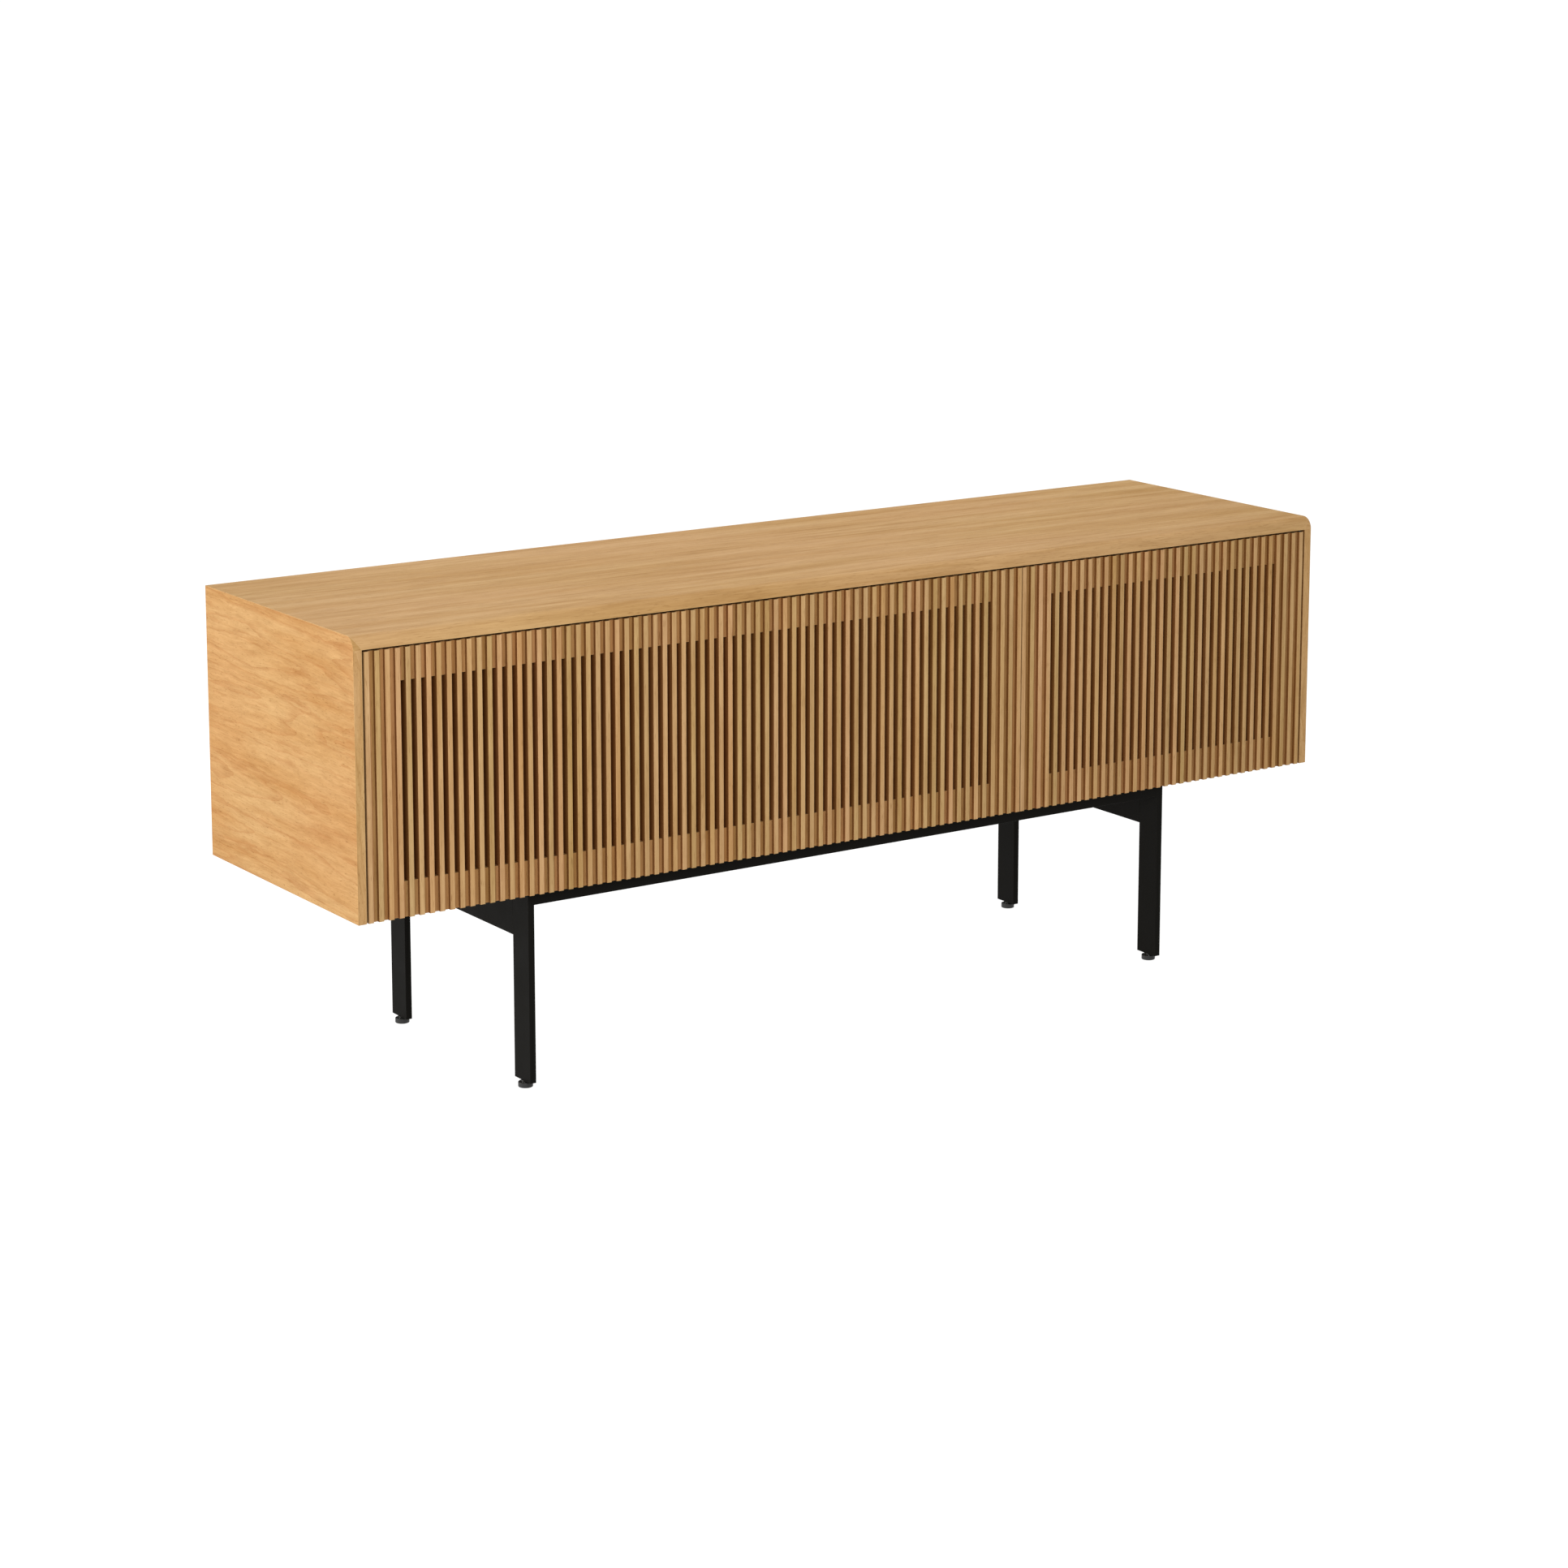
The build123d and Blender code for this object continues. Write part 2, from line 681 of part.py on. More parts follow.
with BuildPart() as stay_flap_pins:
    for side in stay_walls:
        head_at = link_at - play - stay_head_t
        rod_x(slice_x(side, head_at, ear_at + stay_bar_t - head_at), *flap_pin, stay_pin_r)
        rod_x(slice_x(side, head_at, stay_head_t), *flap_pin, stay_head_r)
save(stay_flap_pins.part, "stay_flap_pins")

# The screws of the brackets, the stay housings and the door's pivot plates.
with BuildPart() as hardware_screws:
    screws(hinge_screw, bracket_screw_points, point_down)
    screws(front_screw, lower_plate_screws + upper_plate_screws, point_up)
    for side in stay_walls:
        housing_screws(side)
save(hardware_screws.part, "hardware_screws")

# =============================== door pivots ===============================

with BuildPart() as lower_plate:
    block(lower_plate_x, lower_plate_y, lower_plate_z)
    block(around(door_pin_x, door_neck_half), (door_pin_y, inner_y), lower_plate_z)
    rod_z(door_pin_x, door_pin_y, lower_plate_z, door_neck_half)
    rod_z(door_pin_x, door_pin_y, lower_plate_z, door_pin_r, Mode.SUBTRACT)
    screws(front_screw, lower_plate_screws, point_up, Mode.SUBTRACT)
save(lower_plate.part, "door_pivot_plate_lower")

with BuildPart() as upper_plate:
    block(upper_plate_x, upper_plate_y, upper_plate_z)
    rod_z(door_pin_x, door_pin_y, upper_plate_z, door_pin_r, Mode.SUBTRACT)
    screws(front_screw, upper_plate_screws, point_up, Mode.SUBTRACT)
save(upper_plate.part, "door_pivot_plate_upper")

with BuildPart() as door_pivot_pins:
    door_pins()
save(door_pivot_pins.part, "door_pivot_pins")

# =============================== push latches ===============================

for name, x in latch_xs.items():
    with BuildPart() as latch:
        block(around(x, latch_half), latch_y, (ceiling_z - latch_h, ceiling_z))
        fillet(latch.edges().filter_by(Axis.Y).group_by(Axis.Z)[0], radius=2.0)
        bore_y = (latch_y[0], plunger_end_y + 1.0)
        rod_y(x, bore_y, latch_axis_z, plunger_r + fit, Mode.SUBTRACT)
    save(latch.part, f"latch_body_{name}")

    with BuildPart() as plunger:
        rod_y(x, (plunger_tip_y, plunger_tip_y + plunger_cap_l), latch_axis_z, plunger_cap_r)
        rod_y(x, (plunger_tip_y + plunger_cap_l, plunger_end_y), latch_axis_z, plunger_r)
        fillet(plunger.edges().group_by(Axis.Y)[0], radius=edge_round)
    save(plunger.part, f"latch_plunger_{name}")

with BuildPart() as flap_strikes:
    for name in ("flap_left", "flap_right"):
        rod_y(latch_xs[name], (front_back_y, front_back_y + strike_t), latch_axis_z, strike_r)
save(flap_strikes.part, "flap_strike_plates")

with BuildPart() as door_strike:
    rod_y(latch_xs["door"], (front_back_y, front_back_y + strike_t), latch_axis_z, strike_r)
save(door_strike.part, "door_strike_plate")

# =============================== base ===============================

for corner, (way, leg_y) in corners.items():
    foot_y = (leg_y[0] + leg_y[1]) / 2
    with BuildPart() as leg:
        block(mirror_x(leg_x, way), leg_y, (foot_gap, body_lift))
        fillet(leg.edges().filter_by(Axis.Z), radius=edge_round)
        hole_z = (foot_gap, foot_gap + foot_stem_in + 2.0)
        rod_z(way * foot_x, foot_y, hole_z, foot_stem_r + fit, Mode.SUBTRACT)
    save(leg.part, f"leg_{corner}")

    with BuildPart() as foot_pad:
        rod_z(way * foot_x, foot_y, (0, foot_pad_h), foot_pad_r)
        fillet(foot_pad.edges().filter_by(GeomType.CIRCLE), radius=1.0)
        rod_z(way * foot_x, foot_y, (foot_seat, foot_pad_h), foot_stem_r, Mode.SUBTRACT)
    save(foot_pad.part, f"foot_pad_{corner}")

    with BuildPart() as foot_stem:
        rod_z(way * foot_x, foot_y, (foot_seat, foot_gap + foot_stem_in), foot_stem_r)
        rod_z(way * foot_x, foot_y, (foot_pad_h, foot_gap - play), foot_nut_r)
    save(foot_stem.part, f"foot_stem_{corner}")

for side, way in (("left", -1), ("right", 1)):
    with BuildPart() as side_rail:
        rail_y = (leg_front_y[1], leg_back_y[0])
        block(mirror_x(leg_x, way), rail_y, (body_lift - side_rail_h, body_lift))
    save(side_rail.part, f"side_rail_{side}")

long_rails = {
    "front": (leg_front_y[0], leg_front_y[0] + leg_t),
    "back": (leg_back_y[1] - leg_t, leg_back_y[1]),
}
for name, rail_y in long_rails.items():
    with BuildPart() as long_rail:
        block((-leg_x[0], leg_x[0]), rail_y, (body_lift - long_rail_h, body_lift))
        fillet(long_rail.edges().filter_by(Axis.X).group_by(Axis.Z)[0], radius=edge_round)
    save(long_rail.part, f"{name}_rail")

with BuildPart() as corner_plates:
    for way, leg_y in corners.values():
        plate_x, plate_y = corner_plate_place(way, leg_y)
        block(plate_x, plate_y, (body_lift - corner_plate_t, body_lift))
    screws(base_screw, base_screw_points, point_up, Mode.SUBTRACT)
save(corner_plates.part, "base_corner_plates")

with BuildPart() as base_screws:
    screws(base_screw, base_screw_points, point_up)
save(base_screws.part, "base_screws")
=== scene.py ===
import json
import math

import bpy
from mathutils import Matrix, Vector


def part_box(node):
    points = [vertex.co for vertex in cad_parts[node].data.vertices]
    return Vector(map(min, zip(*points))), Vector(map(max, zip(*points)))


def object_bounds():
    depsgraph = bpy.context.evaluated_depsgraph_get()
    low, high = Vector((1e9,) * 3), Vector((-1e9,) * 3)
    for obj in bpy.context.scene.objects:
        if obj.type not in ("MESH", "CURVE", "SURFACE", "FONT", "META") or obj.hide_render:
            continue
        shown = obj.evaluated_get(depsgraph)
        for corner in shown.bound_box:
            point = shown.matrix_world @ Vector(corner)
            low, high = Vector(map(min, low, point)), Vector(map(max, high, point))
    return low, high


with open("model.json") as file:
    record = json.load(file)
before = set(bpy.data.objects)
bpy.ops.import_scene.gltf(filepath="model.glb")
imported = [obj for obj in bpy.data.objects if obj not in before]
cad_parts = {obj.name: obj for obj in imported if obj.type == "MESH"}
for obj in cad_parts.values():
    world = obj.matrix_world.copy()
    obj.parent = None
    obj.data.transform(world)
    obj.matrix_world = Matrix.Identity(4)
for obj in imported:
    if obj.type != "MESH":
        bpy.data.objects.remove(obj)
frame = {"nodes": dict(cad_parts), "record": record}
nodes = frame["nodes"]
slots = {part["node"]: part["material_slot"] for part in frame["record"]["subparts"]}


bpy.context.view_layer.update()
cabinetLow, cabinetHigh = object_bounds()
cabinetMiddle = (cabinetLow + cabinetHigh) / 2
print("frame loaded:", len(nodes), "pieces")


# small helpers for shader nodes

def linear(hexColour):
    # a colour as a painter writes it, turned into the renderer's linear values
    values = []
    for start in (1, 3, 5):
        level = int(hexColour[start:start + 2], 16) / 255
        values.append(level / 12.92 if level < 0.04045 else ((level + 0.055) / 1.055) ** 2.4)
    return (*values, 1.0)


def add(tree, kind, inputs=None, **settings):
    # one shader node; an input is either a number or another node's output
    made = tree.nodes.new("ShaderNode" + kind)
    for name, value in settings.items():
        setattr(made, name, value)
    for name, value in (inputs or {}).items():
        if isinstance(value, bpy.types.NodeSocket):
            tree.links.new(value, made.inputs[name])
        else:
            made.inputs[name].default_value = value
    return made


def maths(tree, operation, first, second=0.0):
    return add(tree, "Math", {0: first, 1: second}, operation=operation).outputs[0]


def vectors(tree, operation, first, second=(0, 0, 0), scale=None):
    inputs = {0: first, 1: second}
    if scale is not None:
        inputs["Scale"] = scale
    return add(tree, "VectorMath", inputs, operation=operation).outputs[0]


def noise(tree, place, scale, detail=2.0, rough=0.5, colour=False):
    inputs = {"Vector": place, "Scale": scale, "Detail": detail, "Roughness": rough}
    return add(tree, "TexNoise", inputs).outputs["Color" if colour else "Fac"]


def spread(tree, value, low, high, toLow=0.0, toHigh=1.0):
    # stretches the range low..high of a pattern over toLow..toHigh, and cuts off the rest
    inputs = {"Value": value, "From Min": low, "From Max": high, "To Min": toLow, "To Max": toHigh}
    return add(tree, "MapRange", inputs).outputs["Result"]


def mixNumbers(tree, factor, first, second):
    return add(tree, "Mix", {"Factor": factor, 2: first, 3: second}).outputs[0]


def mixPlaces(tree, factor, first, second):
    return add(tree, "Mix", {"Factor": factor, 4: first, 5: second}, data_type="VECTOR").outputs[1]


def mixColours(tree, factor, first, second, blend="MIX"):
    inputs = {"Factor": factor, 6: first, 7: second}
    return add(tree, "Mix", inputs, data_type="RGBA", blend_type=blend).outputs[2]


def shaded(tree, colour, shade, green, blue):
    # darkens a colour, its green and blue by a higher power, because shaded wood turns browner, not greyer
    channels = {0: shade, 1: maths(tree, "POWER", shade, green), 2: maths(tree, "POWER", shade, blue)}
    return mixColours(tree, 1.0, colour, add(tree, "CombineColor", channels).outputs[0], "MULTIPLY")


def newMaterial(name, **shaderInputs):
    material = bpy.data.materials.new(name)
    material.use_nodes = True
    tree = material.node_tree
    tree.nodes.clear()
    shader = add(tree, "BsdfPrincipled")
    for socket, value in shaderInputs.items():
        shader.inputs[socket.replace("_", " ")].default_value = value
    output = add(tree, "OutputMaterial")
    tree.links.new(shader.outputs[0], output.inputs[0])
    return material, tree, shader


def finishSurface(tree, shader, look, colour, roughness, height):
    inputs = {"Strength": look["bump"], "Distance": look["bumpDepth"], "Height": height}
    tree.links.new(colour, shader.inputs["Base Color"])
    tree.links.new(roughness, shader.inputs["Roughness"])
    tree.links.new(add(tree, "Bump", inputs).outputs[0], shader.inputs["Normal"])


def stretched(tree, point, grain, length):
    # squeezes a point along the grain, so that a round pattern becomes a long streak
    scale = [1.0, 1.0, 1.0]
    scale["xyz".index(grain)] = 1.0 / length
    return vectors(tree, "MULTIPLY", point, scale)


def edgeMask(tree, radius):
    # white on sharp outer edges, where hands and cloths rub
    rounded = add(tree, "Bevel", {"Radius": radius}, samples=4).outputs[0]
    flat = add(tree, "NewGeometry").outputs["Normal"]
    same = add(tree, "VectorMath", {0: rounded, 1: flat}, operation="DOT_PRODUCT").outputs["Value"]
    return spread(tree, same, 0.99, 0.85)


def wornEdges(tree, colour, look, amount):
    worn = maths(tree, "MULTIPLY", edgeMask(tree, look["rubWidth"]), amount)
    return mixColours(tree, worn, colour, linear(look["worn"]))


def clouded(tree, cloud, look, most=1.0):
    # the plain colour, with soft clouds of a second one
    second = spread(tree, cloud, 0.3, 0.7, 0.0, most)
    return mixColours(tree, second, linear(look["colour"]), linear(look["cloud"]))


# oak: the top's look, and the other boards' as changes to it

oakCase = {
    "pale": "#AA8A5E", "deep": "#9B7849", "pink": "#A7835B", "line": "#8A6535", "worn": "#BBA37D",
    "wander": 0.010, "wanderReach": 5.0, "wanderScale": 9.0,         # slow sideways drift of the grain
    "ripple": 0.0006, "rippleReach": 1.6, "rippleScale": 60.0,       # quick sideways shake of the grain
    "length": 1.0,                                                   # how long every streak is drawn
    "streaks": 0.45, "lines": 0.45, "patches": 0.5, "pores": 0.35,   # how strong each pattern is
    "rings": 12.0, "ringDepth": 0.16, "ringFade": 0.30,              # year rings: how many, dark and wide
    "browner": (1.25, 1.6),                                          # how green and blue fall off in shade
    "gloss": 0.06, "roughness": (0.60, 0.78),
    "rub": 0.22, "rubWidth": 0.0012, "bump": 0.22, "bumpDepth": 0.0003,
}
oakInside = dict(oakCase, lines=0.4, streaks=0.35)
oakBack = dict(oakCase, pale="#94734E", deep="#84633D", pink="#8D6B48", line="#72512D")
beech = dict(oakInside, pale="#B19672", deep="#A78660", pink="#AE8D6C")
oakSide = dict(
    oakCase, pale="#B38D5D", deep="#A67A48", pink="#AF8353", line="#986435",
    wander=0.024, wanderReach=3.0, ripple=0.0045, length=0.55, streaks=0.55, rings=13.0, ringDepth=0.40,
)
oakFront = dict(
    oakCase, pale="#A88B63", deep="#9C7C50", pink="#A58564", line="#88663A", streaks=0.6, lines=0.35,
    yellowStave="#FCFEF4", pinkStave="#FFF4EF", staveShade=(0.93, 1.06),    # between these each stave varies
    staveHop=(0.317, 1.733),                      # how far the pattern jumps from one stave to the next
    landWidth=0.008, landDepth=0.0010, grooveDepth=0.0045, slotDepth=0.0110, rimWidth=0.0005,
    paintedFloorShade=0.72, paintedWallShade=0.58, paintedDeepShade=0.29,    # painted shade of groove floors, and of slot walls near and deep
    paintedRimShade=0.62, paintedEndShade=0.38, paintedBackShade=0.8,        # painted shade of the board's two ends, of its end grain, partly its own darker tone, and of its back
    paintedShadeGreen=(1.6, 1.2), paintedShadeBlue=(2.3, 1.5),      # how green and blue of this painted shade fall off in grooves, and on outer edges
)

# each pattern in oak: how far it is drawn out along the grain, its scale, detail and roughness, and
# which part of it is used, where that isn't all
oakPattern = {
    "bands": (16.0, 26.0, 3.0, 0.55, (0.35, 0.68)),
    "growth": (22.0, 70.0, 3.0, 0.6, (0.56, 0.70)),
    "fibres": (40.0, 420.0, 3.0, 0.65, None),
    "ticks": (9.0, 130.0, 2.0, 0.5, None),
    "pores": (26.0, 1500.0, 1.0, 0.4, (0.64, 0.74)),
    "patches": (3.0, 5.0, 2.0, 0.5, (0.40, 0.62)),
    "rings": (18.0, 11.0, 3.0, 0.42, None),
}
# painted shade of inner faces: darkest behind the closed fronts, and paler from this depth on; faces nearer
# than offMiddle to the cabinet's middle have none
paintedInnerShade = {"front": 0.45, "back": 0.85, "depth": 0.05, "offMiddle": 0.1}
steep = 0.6                                       # a normal past this belongs to that face
grooves = {"flap_front": 70, "door_front": 35}    # counted across each front


def stavesOf(board):
    # where the staves of a grooved board lie, counted from groove middle to groove middle
    low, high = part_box(board)
    land = oakFront["landWidth"]
    pitch = (high.x - low.x - land) / grooves[board]
    return {"pitch": pitch, "start": low.x - (pitch - land) / 2, "face": low.y,
            "middle": (low.x + high.x) / 2, "half": (high.x - low.x) / 2}


def pushed(tree, point, grain, look, kind):
    # pushes a point sideways by a soft pattern that reaches along the grain
    along = stretched(tree, point, grain, look[kind + "Reach"])
    push = noise(tree, along, look[kind + "Scale"], colour=True)
    push = vectors(tree, "SUBTRACT", push, (0.5, 0.5, 0.5))
    return vectors(tree, "ADD", point, vectors(tree, "SCALE", push, scale=look[kind]))


def paintedRecessShade(tree, here, facing, look, staves):
    # painted shade: groove floors and slot walls darken with depth, and the board's rims, ends and back are
    # darkened, as the shade in grooves, slots and gaps would; the end grain is partly its own darker tone
    depth = maths(tree, "SUBTRACT", here.outputs["Y"], staves["face"])
    paintedFloorShade = spread(tree, depth, look["landDepth"], look["grooveDepth"], 1.0, look["paintedFloorShade"])
    paintedWallShade = spread(tree, depth, 0.0, look["slotDepth"], look["paintedWallShade"], look["paintedDeepShade"])
    onWall = maths(tree, "GREATER_THAN", maths(tree, "ABSOLUTE", facing.outputs["X"]), steep)
    onEnd = maths(tree, "GREATER_THAN", maths(tree, "ABSOLUTE", facing.outputs["Z"]), steep)
    onBack = maths(tree, "GREATER_THAN", facing.outputs["Y"], steep)
    fromMiddle = maths(tree, "ABSOLUTE", maths(tree, "SUBTRACT", here.outputs["X"], staves["middle"]))
    onRim = maths(tree, "GREATER_THAN", fromMiddle, staves["half"] - look["rimWidth"])
    shade = mixNumbers(tree, onWall, paintedFloorShade, paintedWallShade)
    shade = mixNumbers(tree, onRim, shade, look["paintedRimShade"])
    shade = mixNumbers(tree, onEnd, shade, look["paintedEndShade"])
    shade = mixNumbers(tree, onBack, shade, look["paintedBackShade"])
    return shade, onEnd, maths(tree, "MAXIMUM", onEnd, onRim)


def oak(name, grain, look, edging=None, staves=None):
    # edging is the direction of the grain on the front edge, staves are the strips of a grooved board
    material, tree, shader = newMaterial(name, Specular_IOR_Level=look["gloss"])
    point = add(tree, "TexCoord").outputs["Object"]
    here = add(tree, "SeparateXYZ", {0: point})
    facing = add(tree, "SeparateXYZ", {0: add(tree, "TexCoord").outputs["Normal"]})

    if staves:
        # staves are cut from different boards: each has its own place in the pattern
        fromStart = maths(tree, "SUBTRACT", here.outputs["X"], staves["start"])
        number = maths(tree, "FLOOR", maths(tree, "DIVIDE", fromStart, staves["pitch"]))
        hops = [maths(tree, "MULTIPLY", number, hop) for hop in look["staveHop"]]
        hopped = add(tree, "CombineXYZ", {"Y": hops[0], "Z": hops[1]}).outputs[0]
        point = vectors(tree, "ADD", point, hopped)
    point = pushed(tree, point, grain, look, "wander")
    point = pushed(tree, point, grain, look, "ripple")

    if edging:
        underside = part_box("divider")[1].z        # of the top, whose grain runs on over the sides' upper edge
        onEdging = maths(tree, "LESS_THAN", maths(tree, "ABSOLUTE", facing.outputs["X"]), steep)
        besideTop = maths(tree, "GREATER_THAN", here.outputs["Z"], underside)

    def pattern(kind):
        drawnOut, scale, detail, rough, used = oakPattern[kind]
        length = drawnOut * look["length"]
        place = stretched(tree, point, grain, length)
        if edging:
            upright = stretched(tree, point, edging, length)
            onEdge = mixPlaces(tree, besideTop, upright, stretched(tree, point, "x", length))
            place = mixPlaces(tree, onEdging, place, onEdge)
        made = noise(tree, place, scale, detail, rough)
        return spread(tree, made, *used) if used else made

    def tone(kind):
        # the edging strips match the top, whatever the broad face is
        if not edging:
            return linear(look[kind])
        return mixColours(tree, onEdging, linear(look[kind]), linear(oakCase[kind]))

    bands = pattern("bands")
    fibres = pattern("fibres")
    pores = pattern("pores")
    patches = maths(tree, "MULTIPLY", pattern("patches"), look["patches"])
    lines = maths(tree, "MULTIPLY", pattern("growth"), look["lines"])
    # year rings cut lengthwise: thin wavy lines, sharp on one side and fading on the other
    rings = maths(tree, "FRACT", maths(tree, "MULTIPLY", pattern("rings"), look["rings"]))
    ringLine = spread(tree, rings, 0.0, look["ringFade"], look["ringDepth"], 0.0)

    colour = mixColours(tree, bands, tone("pale"), tone("deep"))
    colour = mixColours(tree, patches, colour, tone("pink"))
    colour = mixColours(tree, lines, colour, tone("line"))
    colour = mixColours(tree, ringLine, colour, tone("line"))

    shade = spread(tree, fibres, 0.32, 0.70, 1.0 + 0.10 * look["streaks"], 1.0 - 0.22 * look["streaks"])
    shade = maths(tree, "MULTIPLY", shade, spread(tree, pattern("ticks"), 0.35, 0.68, 1.04, 0.95))
    shade = maths(tree, "MULTIPLY", shade, spread(tree, pores, 0.0, 1.0, 1.0, 1.0 - look["pores"]))
    if staves:
        # no two staves have quite the same shade and hue
        chance = add(tree, "TexWhiteNoise", {"W": number}, noise_dimensions="1D").outputs["Value"]
        shade = maths(tree, "MULTIPLY", shade, spread(tree, chance, 0, 1, *look["staveShade"]))
        hue = mixColours(tree, chance, linear(look["yellowStave"]), linear(look["pinkStave"]))
        colour = mixColours(tree, 1.0, colour, hue, "MULTIPLY")
    if edging:
        # a face that looks towards the cabinet's middle is an inner face, and gets painted shade, darkest just
        # behind the fronts
        outward = maths(tree, "MULTIPLY", here.outputs["X"], facing.outputs["X"])
        inward = maths(tree, "LESS_THAN", outward, -paintedInnerShade["offMiddle"])
        innerPaintedShade = spread(tree, here.outputs["Y"], cabinetLow.y, cabinetLow.y + paintedInnerShade["depth"],
                       paintedInnerShade["front"], paintedInnerShade["back"])
        shade = maths(tree, "MULTIPLY", shade, mixNumbers(tree, inward, 1.0, innerPaintedShade))
    colour = wornEdges(tree, shaded(tree, colour, shade, *look["browner"]), look, look["rub"])
    uneven = maths(tree, "ADD", fibres, maths(tree, "MULTIPLY", bands, 0.4))
    roughness = spread(tree, uneven, 0.3, 1.1, *look["roughness"])
    if staves:
        # painted shade of grooves, slots and gaps: its green and blue fall off faster in a groove, as light
        # bounced from wood to wood turns redder, and slower on the outer edges
        cut, onEnd, outer = paintedRecessShade(tree, here, facing, look, staves)
        green = spread(tree, outer, 0, 1, *look["paintedShadeGreen"])
        blue = spread(tree, outer, 0, 1, *look["paintedShadeBlue"])
        colour = shaded(tree, colour, cut, green, blue)
        roughness = mixNumbers(tree, onEnd, roughness, 1.0)

    height = maths(tree, "SUBTRACT", maths(tree, "MULTIPLY", fibres, 0.6), pores)
    finishSurface(tree, shader, look, colour, roughness, height)
    return material


# painted steel of the base

blackPaint = {
    "colour": "#0D0C0A", "cloud": "#14130F", "worn": "#2A2925",
    "gloss": 0.035, "roughness": (0.46, 0.62), "peel": 900.0, "cloudScale": 14.0,
    "rub": (0.1, 0.6), "rubWidth": 0.0010, "bump": 0.12, "bumpDepth": 0.0003,
}


def powderCoat(name, look):
    material, tree, shader = newMaterial(name, Specular_IOR_Level=look["gloss"])
    point = add(tree, "TexCoord").outputs["Object"]
    peel = noise(tree, point, look["peel"], 3.0)
    cloud = noise(tree, point, look["cloudScale"], 3.0, 0.6)
    patchy = spread(tree, cloud, 0.42, 0.62, *look["rub"])
    colour = wornEdges(tree, clouded(tree, cloud, look, 0.35), look, patchy)
    uneven = maths(tree, "ADD", cloud, maths(tree, "MULTIPLY", peel, 0.3))
    roughness = spread(tree, uneven, 0.4, 0.9, *look["roughness"])
    finishSurface(tree, shader, look, colour, roughness, peel)
    return material


# bare metal of the fittings; brush is the direction of its fine scratches

zincPlate = {
    "colour": "#B9BBBD", "cloud": "#A4A6A9", "worn": "#D8D8D4", "cloudScale": 60.0,
    "brush": "z", "brushScale": 1800.0, "brushLength": 30.0, "roughness": (0.27, 0.44),
    "rub": 0.4, "rubWidth": 0.0005, "bump": 0.06, "bumpDepth": 0.0004,
}
zincScrews = dict(zincPlate, colour="#AEB0B2", cloud="#94969A", brush="x", roughness=(0.23, 0.40))
blackZinc = dict(zincPlate, colour="#3A3A39", cloud="#2E2E2D", brush="x", roughness=(0.38, 0.55))
blackThread = dict(
    zincPlate, colour="#2A2A29", cloud="#1E1E1D", roughness=(0.35, 0.52), bump=0.5,
    thread=0.001,                               # height of one turn
)


def brushedMetal(name, look):
    material, tree, shader = newMaterial(name, Metallic=1.0)
    point = add(tree, "TexCoord").outputs["Object"]
    scratches = stretched(tree, point, look["brush"], look["brushLength"])
    brush = noise(tree, scratches, look["brushScale"], 2.0, 0.6)
    cloud = noise(tree, point, look["cloudScale"], 3.0, 0.6)
    colour = wornEdges(tree, clouded(tree, cloud, look), look, look["rub"])
    roughness = spread(tree, maths(tree, "ADD", brush, cloud), 0.7, 1.3, *look["roughness"])
    height = brush
    if "thread" in look:
        up = add(tree, "SeparateXYZ", {0: point}).outputs["Z"]
        ridges = maths(tree, "SINE", maths(tree, "MULTIPLY", up, 2 * math.pi / look["thread"]))
        height = maths(tree, "ADD", maths(tree, "MULTIPLY", brush, 0.1), ridges)
    finishSurface(tree, shader, look, colour, roughness, height)
    return material


# moulded plastic of the small fittings

greyMoulding = {
    "colour": "#6E6F71", "cloud": "#636466", "worn": "#8A8B8C", "cloudScale": 30.0, "grain": 2600.0,
    "gloss": 0.4, "roughness": (0.42, 0.60),
    "rub": 0.3, "rubWidth": 0.0006, "bump": 0.25, "bumpDepth": 0.0002,
}
blackMoulding = dict(greyMoulding, colour="#1B1B1A", cloud="#141413", worn="#3A3A38")


def mouldedPlastic(name, look):
    material, tree, shader = newMaterial(name, Specular_IOR_Level=look["gloss"])
    point = add(tree, "TexCoord").outputs["Object"]
    grain = noise(tree, point, look["grain"])
    cloud = noise(tree, point, look["cloudScale"], 3.0, 0.6)
    colour = wornEdges(tree, clouded(tree, cloud, look), look, look["rub"])
    uneven = maths(tree, "ADD", cloud, maths(tree, "MULTIPLY", grain, 0.5))
    roughness = spread(tree, uneven, 0.5, 1.0, *look["roughness"])
    finishSurface(tree, shader, look, colour, roughness, grain)
    return material


# a piece takes its slot's finish, unless its grain or its colour is another

finishes = {
    "oak_case": oak("oak_top", "x", oakCase),
    "oak_inside": oak("oak_boards", "x", oakInside),
    "back_board": oak("oak_back_foil", "x", oakBack),
    "beech": oak("beech_dowels", "x", beech),
    "black_steel": powderCoat("black_powder_coat", blackPaint),
    "zinc_steel": brushedMetal("zinc_plate", zincPlate),
    "screw_steel": brushedMetal("zinc_screws", zincScrews),
    "stem_steel": brushedMetal("blackened_thread", blackThread),
    "grey_plastic": mouldedPlastic("grey_moulding", greyMoulding),
    "black_plastic": mouldedPlastic("black_moulding", blackMoulding),
}
sidesFinish = oak("oak_sides", "y", oakSide, edging="z")
uprightsFinish = oak("oak_upright_boards", "y", oakInside, edging="z")
pivotFinish = brushedMetal("black_zinc", blackZinc)
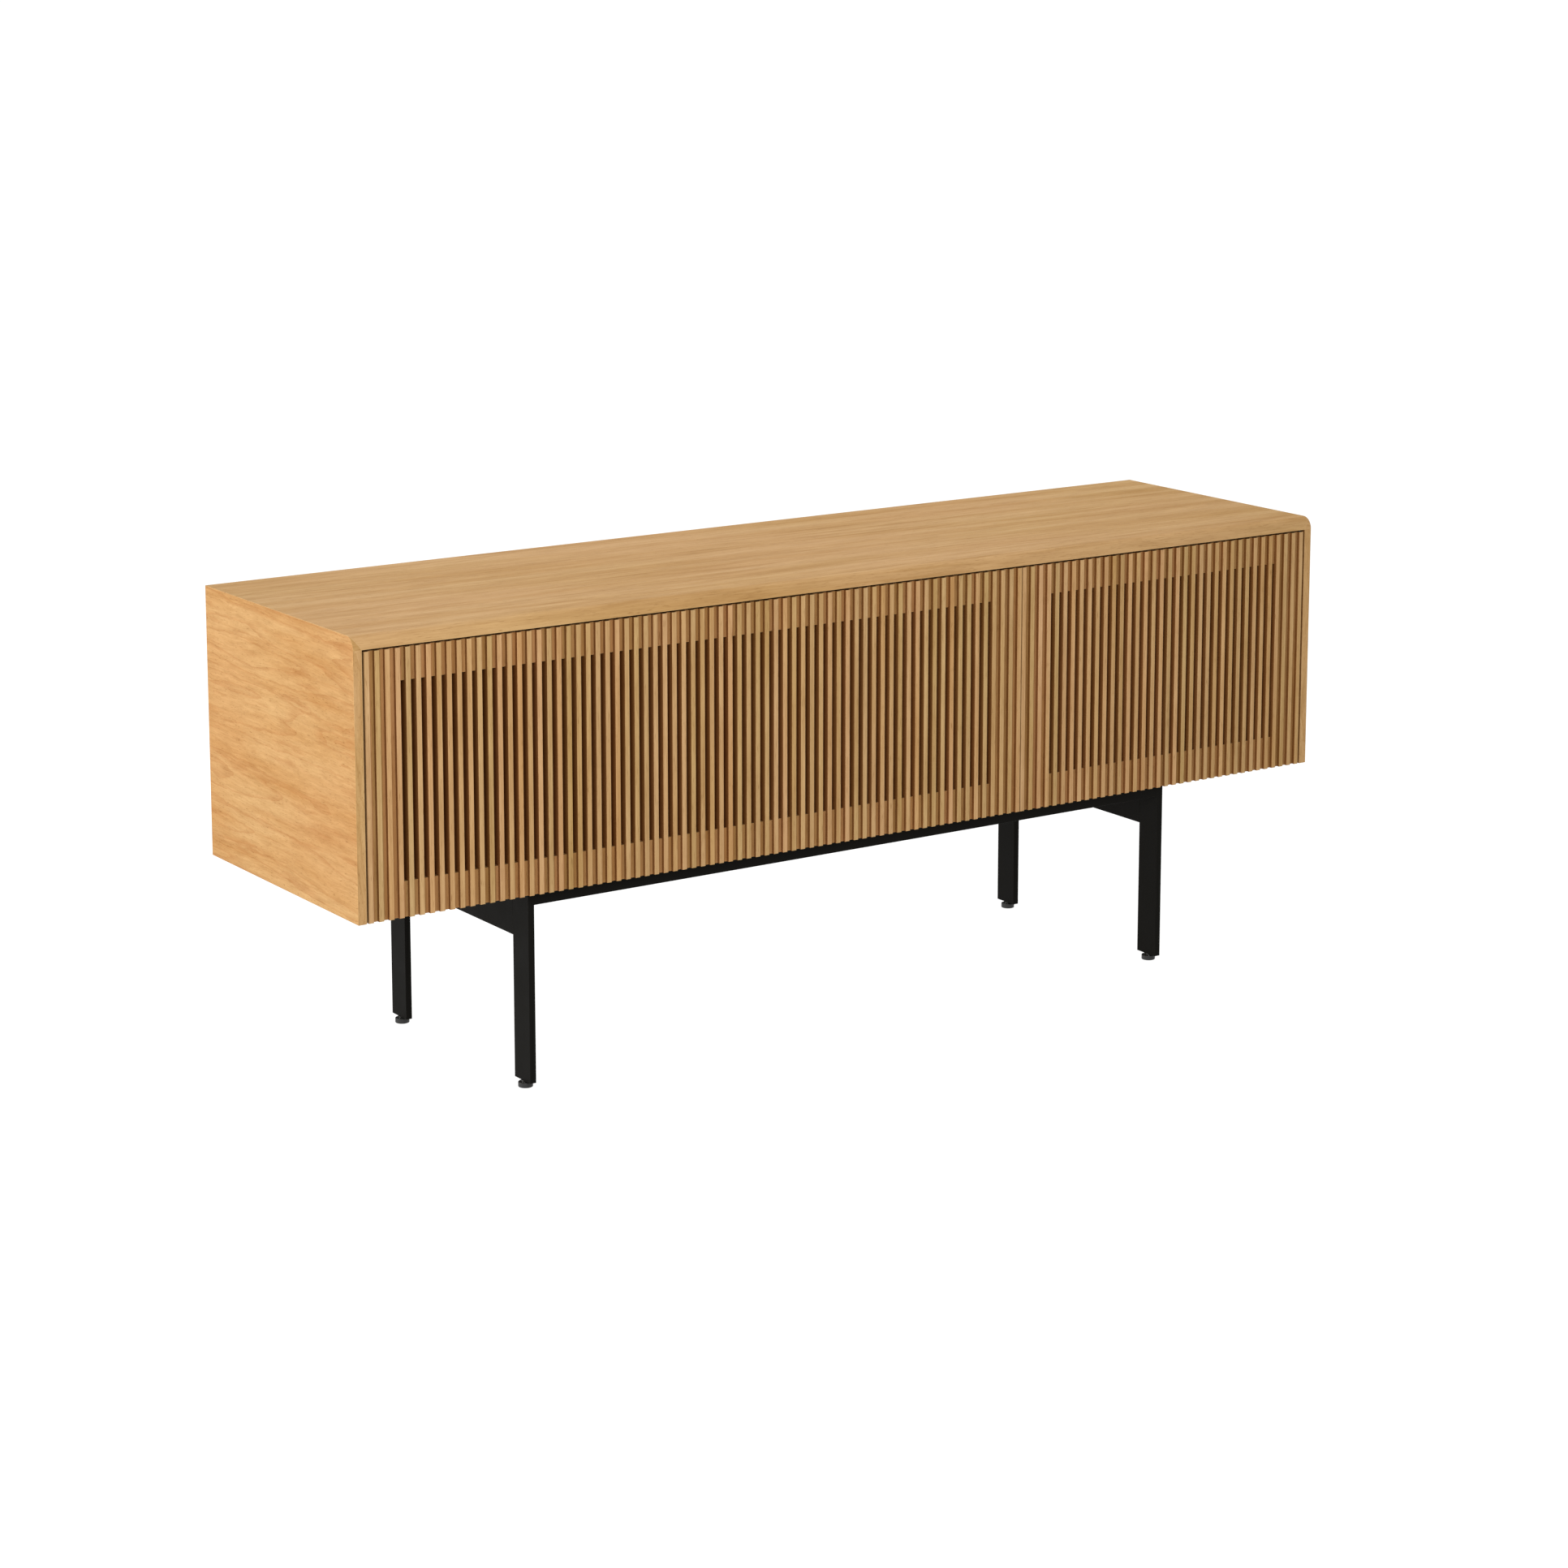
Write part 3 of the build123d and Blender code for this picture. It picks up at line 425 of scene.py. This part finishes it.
ownFinish = {
    "side_panel_left": sidesFinish,
    "side_panel_right": sidesFinish,
    "divider": uprightsFinish,
    "centre_partition": uprightsFinish,
    "flap_front": oak("oak_flap_slats", "z", oakFront, staves=stavesOf("flap_front")),
    "door_front": oak("oak_door_slats", "z", oakFront, staves=stavesOf("door_front")),
    "door_pivot_plate_upper": pivotFinish,
    "door_pivot_plate_lower": pivotFinish,
    "door_pivot_pins": pivotFinish,
}

for name, piece in nodes.items():
    finish = ownFinish.get(name) or finishes[slots[name]]
    for materialSlot in piece.material_slots:
        materialSlot.link = "OBJECT"
        materialSlot.material = finish
    if not piece.material_slots:
        piece.data.materials.append(finish)
print("materials made:", len(bpy.data.materials))


# studio: a white dome, a pale floor that glows, and three soft boxes

studio = {
    "dome": 0.62, "backdrop": 1.0,            # light from the dome, and how bright it is seen
    "floor": {"colour": "#6E6E6E", "cloud": "#767676", "cloudScale": 1.5, "glow": 0.93,
              "roughness": 0.9, "gloss": 0.1,
              "half": 90.0, "below": 0.0002},    # half its width, and how far it lies below the feet
    "side": {"at": (-4.2, 0.9, 1.1), "size": 2.6, "power": 116.0},
    "front": {"at": (-1.6, -2.8, 2.1), "size": 1.8, "power": 94.0},
    "top": {"at": (0.5, 1.5, 3.4), "size": 2.4, "power": 80.0},
}
white = (1.0, 1.0, 1.0, 1.0)


def softBox(name, look):
    lamp = bpy.data.lights.new(name, "AREA")
    lamp.shape = "SQUARE"
    lamp.size = look["size"]
    lamp.energy = look["power"]
    box = bpy.data.objects.new(name, lamp)
    box.location = look["at"]
    box.rotation_euler = (cabinetMiddle - box.location).to_track_quat("-Z", "Y").to_euler()
    bpy.context.scene.collection.objects.link(box)


def whiteDome():
    world = bpy.data.worlds.new("white_studio")
    world.use_nodes = True
    tree = world.node_tree
    sky = tree.nodes["Background"]
    sky.inputs["Color"].default_value = white
    # the dome lights the cabinet softly, and is seen as plain white above the floor
    seen = add(tree, "LightPath").outputs["Is Camera Ray"]
    tree.links.new(spread(tree, seen, 0, 1, studio["dome"], studio["backdrop"]), sky.inputs["Strength"])
    bpy.context.scene.world = world


def paleFloor():
    look = studio["floor"]
    material, tree, shader = newMaterial(
        "pale_floor", Roughness=look["roughness"], Specular_IOR_Level=look["gloss"],
        Emission_Color=white, Emission_Strength=look["glow"])
    cloud = noise(tree, add(tree, "TexCoord").outputs["Object"], look["cloudScale"], 3.0)
    tree.links.new(clouded(tree, cloud, look, 0.5), shader.inputs["Base Color"])
    half = look["half"]
    outline = [(-half, -half, 0), (half, -half, 0), (half, half, 0), (-half, half, 0)]
    mesh = bpy.data.meshes.new("floor")
    mesh.from_pydata(outline, [], [(0, 1, 2, 3)])
    mesh.materials.append(material)
    floor = bpy.data.objects.new("floor", mesh)
    floor.location.z = cabinetLow.z - look["below"]
    bpy.context.scene.collection.objects.link(floor)


whiteDome()
paleFloor()
softBox("side_softbox", studio["side"])
softBox("front_softbox", studio["front"])
softBox("top_softbox", studio["top"])
bpy.context.scene.view_settings.view_transform = "Standard"
print("studio lit:", len(bpy.data.lights), "soft boxes")


view = {
    "aim": Vector((0.031, 0.051, 0.338)),   # from the cabinet's middle
    "distance": 5.806,
    "turn": 34.05,                          # degrees to the right of straight ahead
    "down": 10.18,                          # degrees below level
    "lens": 86.62, "sensor": 36.0,
    "rise": -0.15,                          # lens shift, part of the frame's width
    "nearest": 0.05, "farthest": 200.0,     # what it can see
}


def setCamera():
    camera = bpy.data.cameras.new("camera")
    camera.lens = view["lens"]
    camera.sensor_width = view["sensor"]
    camera.shift_y = view["rise"]
    camera.clip_start = view["nearest"]
    camera.clip_end = view["farthest"]
    turn, down = math.radians(view["turn"]), math.radians(view["down"])
    ahead = Vector((math.sin(turn) * math.cos(down), math.cos(turn) * math.cos(down), -math.sin(down)))
    stand = bpy.data.objects.new("camera", camera)
    stand.location = cabinetMiddle + view["aim"] - ahead * view["distance"]
    stand.rotation_euler = ahead.to_track_quat("-Z", "Y").to_euler()
    bpy.context.scene.collection.objects.link(stand)
    bpy.context.scene.camera = stand


setCamera()
print("camera set")
